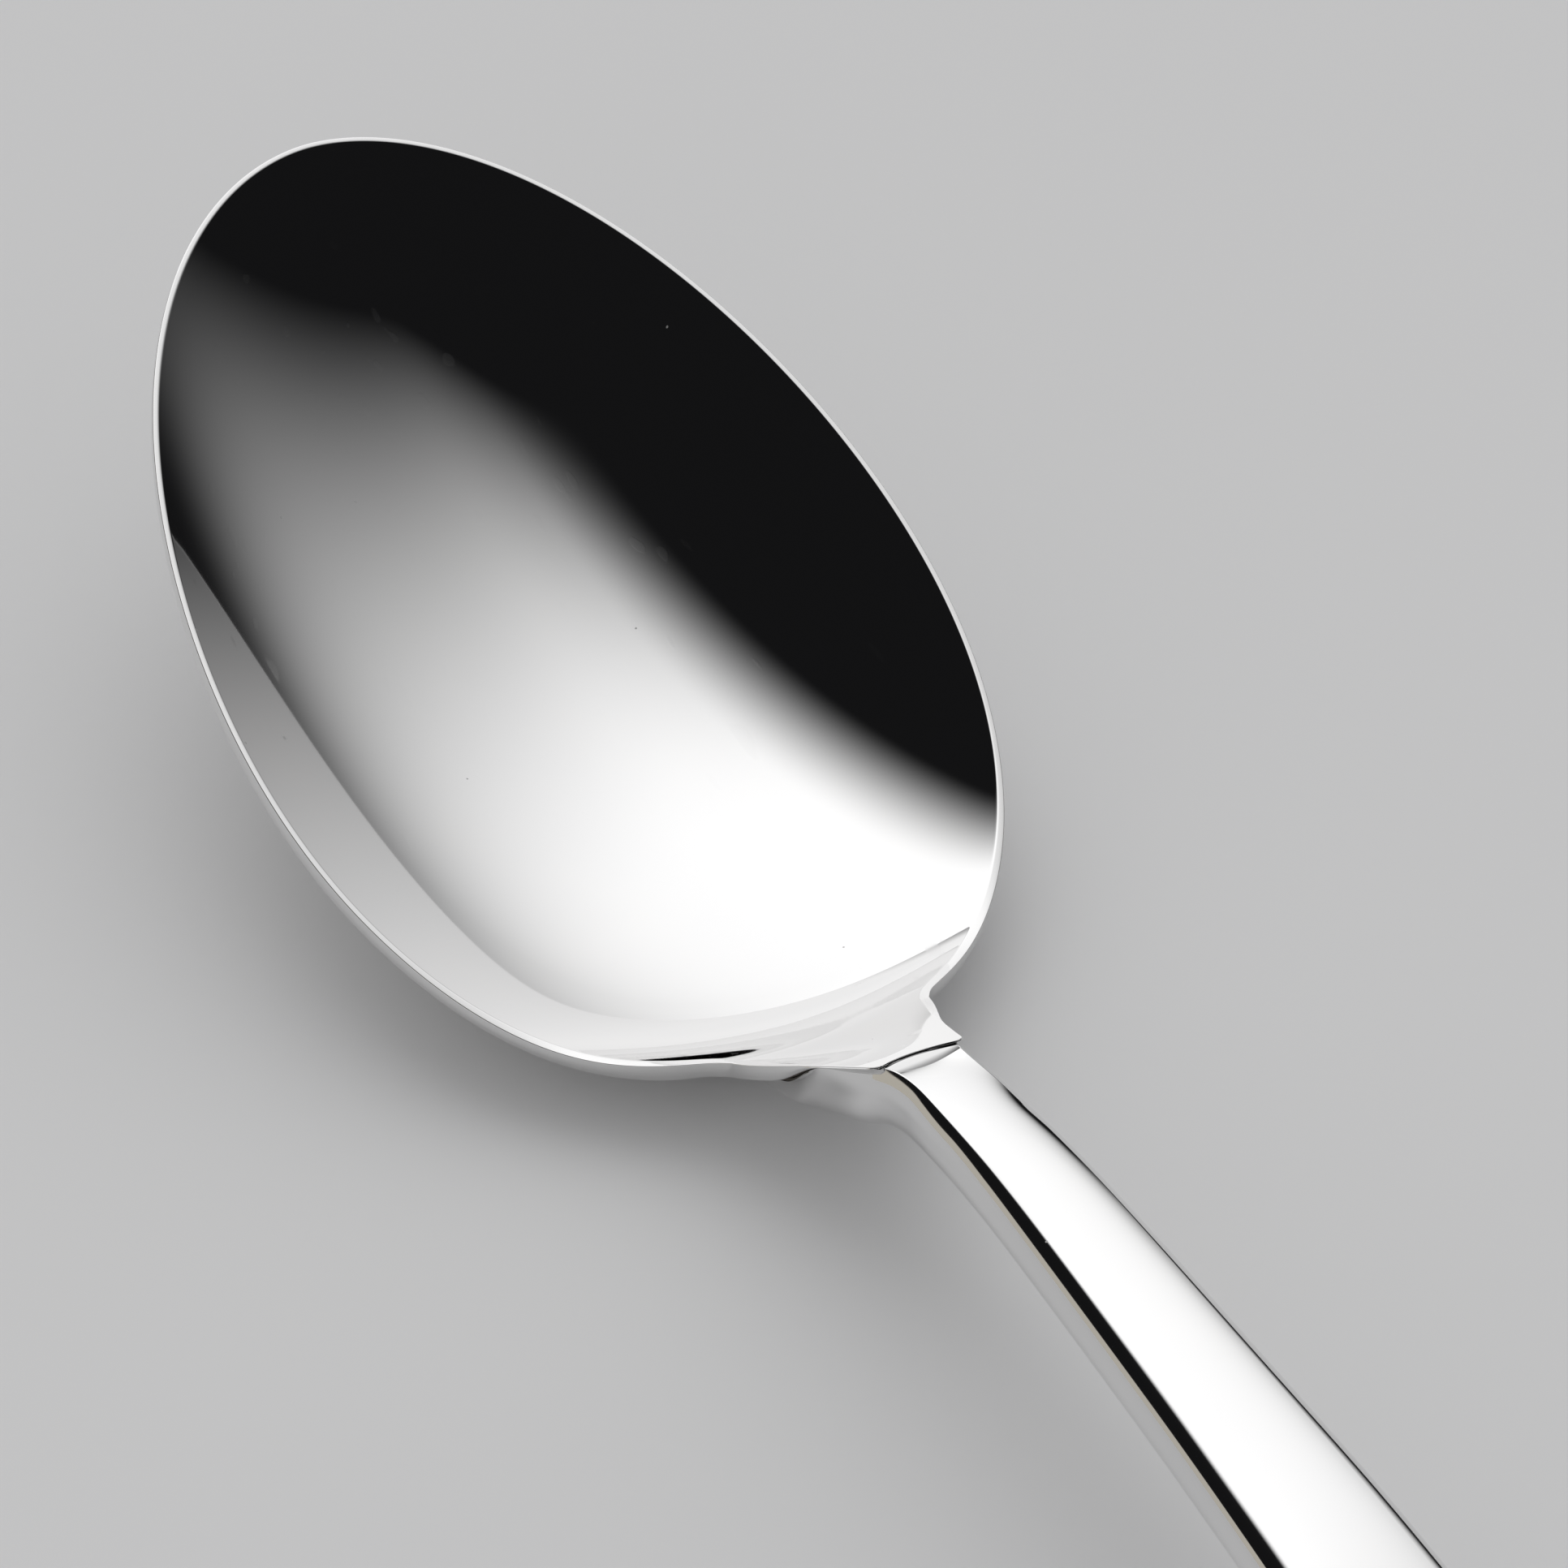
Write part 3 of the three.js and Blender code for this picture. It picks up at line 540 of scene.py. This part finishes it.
def polish_group():
    """Wheel hairlines, stray scratches, dust and the faint unevenness of a mirror finish."""
    group = bpy.data.node_groups.new("mirror_polish", "ShaderNodeTree")
    group.interface.new_socket("Lengthwise", in_out="INPUT", socket_type="NodeSocketFloat")
    group.interface.new_socket("Edge", in_out="INPUT", socket_type="NodeSocketFloat")
    group.interface.new_socket("Roughness", in_out="OUTPUT", socket_type="NodeSocketFloat")
    group.interface.new_socket("Height", in_out="OUTPUT", socket_type="NodeSocketFloat")
    group.interface.new_socket("Tone", in_out="OUTPUT", socket_type="NodeSocketColor")
    link = group.links.new
    given = group.nodes.new("NodeGroupInput")
    given_out = group.nodes.new("NodeGroupOutput")
    place = group.nodes.new("ShaderNodeTexCoord")

    wheel_map = node(group, "ShaderNodeMapping", Rotation=(0, 0, 0.03), Scale=(0.035, 1, 1))
    wheel = node(group, "ShaderNodeTexNoise", Scale=5200, Detail=3, Roughness=0.6)
    link(place.outputs["Object"], wheel_map.inputs["Vector"])
    link(wheel_map.outputs["Vector"], wheel.inputs["Vector"])

    marks = None
    for turn, scale, level in ((0.5, 900, 0.735), (-0.9, 700, 0.745), (1.35, 1150, 0.74)):
        turned = node(group, "ShaderNodeMapping", Rotation=(0.2, 0.1, turn), Scale=(0.03, 1, 1))
        streak = node(group, "ShaderNodeTexNoise", Scale=scale, Detail=1, Roughness=0.4)
        thin = group.nodes.new("ShaderNodeMapRange")
        thin.interpolation_type = "SMOOTHSTEP"
        thin.inputs["From Min"].default_value = level
        thin.inputs["From Max"].default_value = level + 0.03
        link(place.outputs["Object"], turned.inputs["Vector"])
        link(turned.outputs["Vector"], streak.inputs["Vector"])
        link(streak.outputs["Fac"], thin.inputs["Value"])
        if marks is None:
            marks = thin.outputs["Result"]
        else:
            most = group.nodes.new("ShaderNodeMath")
            most.operation = "MAXIMUM"
            link(marks, most.inputs[0])
            link(thin.outputs["Result"], most.inputs[1])
            marks = most.outputs[0]

    haze = node(group, "ShaderNodeTexNoise", Scale=95, Detail=4, Roughness=0.55)
    link(place.outputs["Object"], haze.inputs["Vector"])

    specks = node(group, "ShaderNodeTexVoronoi", Scale=120)
    specks.voronoi_dimensions = "2D"
    dust = group.nodes.new("ShaderNodeMapRange")
    dust.interpolation_type = "SMOOTHSTEP"
    dust.inputs["From Min"].default_value = SPECK_SIZE
    dust.inputs["From Max"].default_value = SPECK_CORE
    chosen = group.nodes.new("ShaderNodeMath")
    chosen.operation = "GREATER_THAN"
    chosen.inputs[1].default_value = 1 - SPECK_SHARE
    tell = group.nodes.new("ShaderNodeSeparateColor")
    link(place.outputs["Object"], specks.inputs["Vector"])
    link(specks.outputs["Distance"], dust.inputs["Value"])
    link(specks.outputs["Color"], tell.inputs["Color"])
    link(tell.outputs["Red"], chosen.inputs[0])

    def times(a, b, add=0.0):
        made = group.nodes.new("ShaderNodeMath")
        made.operation = "MULTIPLY_ADD"
        for socket, value in zip(made.inputs, (a, b, add)):
            if isinstance(value, (int, float)):
                socket.default_value = value
            else:
                link(value, socket)
        return made.outputs[0]

    rough = times(haze.outputs["Fac"], 0.016, 0.014)
    rough = times(marks, 0.07, rough)
    wheel_rough = times(wheel.outputs["Fac"], given.outputs["Lengthwise"])
    rough = times(wheel_rough, 0.03, rough)
    rough = times(given.outputs["Edge"], 0.05, rough)
    rough = times(times(dust.outputs["Result"], chosen.outputs[0]), 0.6, rough)
    link(rough, given_out.inputs["Roughness"])

    height = times(marks, -0.6)
    height = times(wheel_rough, 0.12, height)
    height = times(haze.outputs["Fac"], 0.25, height)
    link(height, given_out.inputs["Height"])

    tone = group.nodes.new("ShaderNodeMix")
    tone.data_type = "RGBA"
    tone.inputs["A"].default_value = (0.775, 0.775, 0.78, 1)
    tone.inputs["B"].default_value = (0.81, 0.805, 0.8, 1)
    link(haze.outputs["Fac"], tone.inputs["Factor"])
    link(tone.outputs["Result"], given_out.inputs["Tone"])
    return group


def steel(name, group, lengthwise):
    material = bpy.data.materials.new(name)
    material.use_nodes = True
    tree = material.node_tree
    surface = tree.nodes["Principled BSDF"]
    surface.inputs["Metallic"].default_value = 1
    polish = tree.nodes.new("ShaderNodeGroup")
    polish.node_tree = group
    polish.inputs["Lengthwise"].default_value = lengthwise
    edge = tree.nodes.new("ShaderNodeAttribute")
    edge.attribute_name = "edge"
    bump = node(tree, "ShaderNodeBump", Strength=0.02, Distance=0.00002)
    link = tree.links.new
    link(edge.outputs["Fac"], polish.inputs["Edge"])
    link(polish.outputs["Tone"], surface.inputs["Base Color"])
    link(polish.outputs["Roughness"], surface.inputs["Roughness"])
    link(polish.outputs["Height"], bump.inputs["Height"])
    link(bump.outputs["Normal"], surface.inputs["Normal"])
    return material


def braze_finish():
    """Filler that has darkened in the seam, grainy and dull."""
    material = bpy.data.materials.new("darkened_braze")
    material.use_nodes = True
    tree = material.node_tree
    surface = tree.nodes["Principled BSDF"]
    surface.inputs["Metallic"].default_value = 1
    place = tree.nodes.new("ShaderNodeTexCoord")
    grain = node(tree, "ShaderNodeTexNoise", Scale=2600, Detail=4)
    tint = tree.nodes.new("ShaderNodeValToRGB")
    tint.color_ramp.elements[0].color = (0.05, 0.045, 0.04, 1)
    tint.color_ramp.elements[1].color = (0.2, 0.175, 0.14, 1)
    rough = tree.nodes.new("ShaderNodeMapRange")
    rough.inputs["To Min"].default_value = 0.35
    rough.inputs["To Max"].default_value = 0.6
    bump = node(tree, "ShaderNodeBump", Strength=0.3, Distance=0.00002)
    link = tree.links.new
    link(place.outputs["Object"], grain.inputs["Vector"])
    link(grain.outputs["Fac"], tint.inputs["Fac"])
    link(tint.outputs["Color"], surface.inputs["Base Color"])
    link(grain.outputs["Fac"], rough.inputs["Value"])
    link(rough.outputs["Result"], surface.inputs["Roughness"])
    link(grain.outputs["Fac"], bump.inputs["Height"])
    link(bump.outputs["Normal"], surface.inputs["Normal"])
    return material


# The studio, in metres
FLOOR_SIZE, FLOOR_GAP = 8, 0.00005
FLOOR_COLOUR = (0.8, 0.8, 0.805, 1)
ROOM_COLOUR = (0.008, 0.008, 0.0085, 1)
CARD_COLOUR = (0.5, 0.47, 0.41, 1)
SOFTBOX_GLOW, WALL_GLOW, FILL_GLOW = 1.27, 0.6, 0.45
SENSOR_WIDTH, FOCAL_LENGTH = 36, 36 * 10883 / 1932
CAMERA_PLACE = (0.299183, -0.14735, 0.285482)
CAMERA_AIM = (0.004416, 0.003321, 0.011054)


def make_floor():
    bpy.ops.object.select_all(action="DESELECT")
    bpy.ops.mesh.primitive_plane_add(size=FLOOR_SIZE, location=(0, 0, -FLOOR_GAP))
    floor = bpy.context.object
    floor.name = "studio_floor"
    material = bpy.data.materials.new("pale_table")
    material.use_nodes = True
    tree = material.node_tree
    surface = tree.nodes["Principled BSDF"]
    surface.inputs["Roughness"].default_value = 0.7
    surface.inputs["Specular IOR Level"].default_value = 0.2
    surface.inputs["Base Color"].default_value = FLOOR_COLOUR
    floor.data.materials.append(material)


def make_studio():
    """A softbox overhead, a warm card low on the left, a pale wall on the right and a dark room."""
    world = bpy.data.worlds.new("studio")
    bpy.context.scene.world = world
    world.use_nodes = True
    tree = world.node_tree
    link = tree.links.new
    surround = tree.nodes["Background"]
    place = tree.nodes.new("ShaderNodeTexCoord")
    parts = tree.nodes.new("ShaderNodeSeparateXYZ")
    link(place.outputs["Generated"], parts.inputs["Vector"])
    x, y, z = parts.outputs

    def calc(how, a, b=0.0, c=0.0):
        made = tree.nodes.new("ShaderNodeMath")
        made.operation = how
        for socket, value in zip(made.inputs, (a, b, c)):
            if isinstance(value, (int, float)):
                socket.default_value = value
            else:
                link(value, socket)
        return made.outputs[0]

    def ramp(value, start, end):
        made = tree.nodes.new("ShaderNodeMapRange")
        made.interpolation_type = "SMOOTHSTEP"
        low, high = min(start, end), max(start, end)
        made.inputs["From Min"].default_value = low
        made.inputs["From Max"].default_value = high
        made.inputs["To Min"].default_value = 0.0 if start < end else 1.0
        made.inputs["To Max"].default_value = 1.0 if start < end else 0.0
        link(value, made.inputs["Value"])
        return made.outputs["Result"]

    def rounded(value):
        """The value where it is above zero, else zero, with a soft bend between."""
        root = calc("SQRT", calc("MULTIPLY_ADD", value, value, 0.02))
        return calc("MULTIPLY", calc("ADD", value, root), 0.5)

    above = calc("MAXIMUM", z, 0.02)
    across = calc("DIVIDE", x, above)
    along = calc("DIVIDE", y, above)
    rim = calc("MULTIPLY_ADD", rounded(calc("SUBTRACT", 0.2, along)), -0.5, 0.42)
    soft = calc("MULTIPLY_ADD", rounded(along), 0.8, 0.95)
    right = calc("DIVIDE", calc("SUBTRACT", rim, across), soft)
    right = calc("SUBTRACT", 1.0, calc("MINIMUM", calc("MAXIMUM", right, 0.0), 1.0))
    right = calc("POWER", calc("SUBTRACT", 1.0, calc("MULTIPLY", right, right)), 1.5)
    front = ramp(calc("MULTIPLY_ADD", across, -0.19, along), -0.36, -0.02)
    beyond = calc("MULTIPLY_ADD", calc("MINIMUM", calc("ADD", across, 2.0), 0.0), 0.35, along)
    far = calc("DIVIDE", calc("MAXIMUM", calc("SUBTRACT", beyond, 0.1), 0.0), 2.6)
    far = calc("EXPONENT", calc("MULTIPLY", calc("MULTIPLY", far, far), -1.0))
    box = calc("MULTIPLY", calc("MULTIPLY", right, front), far)
    box = calc("MULTIPLY", box, ramp(z, -0.02, 0.01))
    box = calc("MULTIPLY", box, SOFTBOX_GLOW)

    left = calc("MULTIPLY_ADD", x, -0.685, calc("MULTIPLY", y, -0.728))
    card = calc("MULTIPLY", ramp(left, 0.35, 0.6), ramp(z, 0.17, 0.15))
    card = calc("MULTIPLY", card, ramp(z, -0.02, 0.0))

    side = calc("MULTIPLY_ADD", x, 0.86, calc("MULTIPLY", y, -0.5))
    wall = calc("MULTIPLY", ramp(side, 0.0, 0.6), ramp(z, 0.55, 0.1))
    wall = calc("MULTIPLY", wall, calc("MULTIPLY", ramp(z, -0.02, 0.01), WALL_GLOW))
    box = calc("ADD", box, wall)

    warm = tree.nodes.new("ShaderNodeMix")
    warm.data_type = "RGBA"
    warm.inputs["A"].default_value = ROOM_COLOUR
    warm.inputs["B"].default_value = CARD_COLOUR
    link(card, warm.inputs["Factor"])
    light = tree.nodes.new("ShaderNodeMix")
    light.data_type = "RGBA"
    light.blend_type = "ADD"
    light.inputs["Factor"].default_value = 1
    link(warm.outputs["Result"], light.inputs["A"])
    link(box, light.inputs["B"])

    path = tree.nodes.new("ShaderNodeLightPath")
    fill = tree.nodes.new("ShaderNodeMix")
    fill.data_type = "RGBA"
    fill.blend_type = "ADD"
    fill.inputs["B"].default_value = (FILL_GLOW, FILL_GLOW, FILL_GLOW, 1)
    link(path.outputs["Is Diffuse Ray"], fill.inputs["Factor"])
    link(light.outputs["Result"], fill.inputs["A"])
    link(fill.outputs["Result"], surround.inputs["Color"])


def make_camera():
    """The photograph's view, from the near side of the handle."""
    lens = bpy.data.cameras.new("photo_camera")
    lens.sensor_width = SENSOR_WIDTH
    lens.lens = FOCAL_LENGTH
    lens.clip_start, lens.clip_end = 0.01, 50
    camera = bpy.data.objects.new("photo_camera", lens)
    bpy.context.scene.collection.objects.link(camera)
    camera.location = CAMERA_PLACE
    look = Vector(CAMERA_AIM) - camera.location
    camera.rotation_euler = look.to_track_quat("-Z", "Y").to_euler()
    bpy.context.scene.camera = camera


make_camera()
polish = polish_group()
finished(make_bowl(), "bowl", steel("bowl_mirror_steel", polish, 0.35))
handle, film = make_handle_and_film()
finished(handle, "handle", steel("handle_mirror_steel", polish, 0.8))
finished(film, "braze_film", braze_finish())
make_floor()
make_studio()
bpy.context.scene.view_settings.view_transform = "Standard"
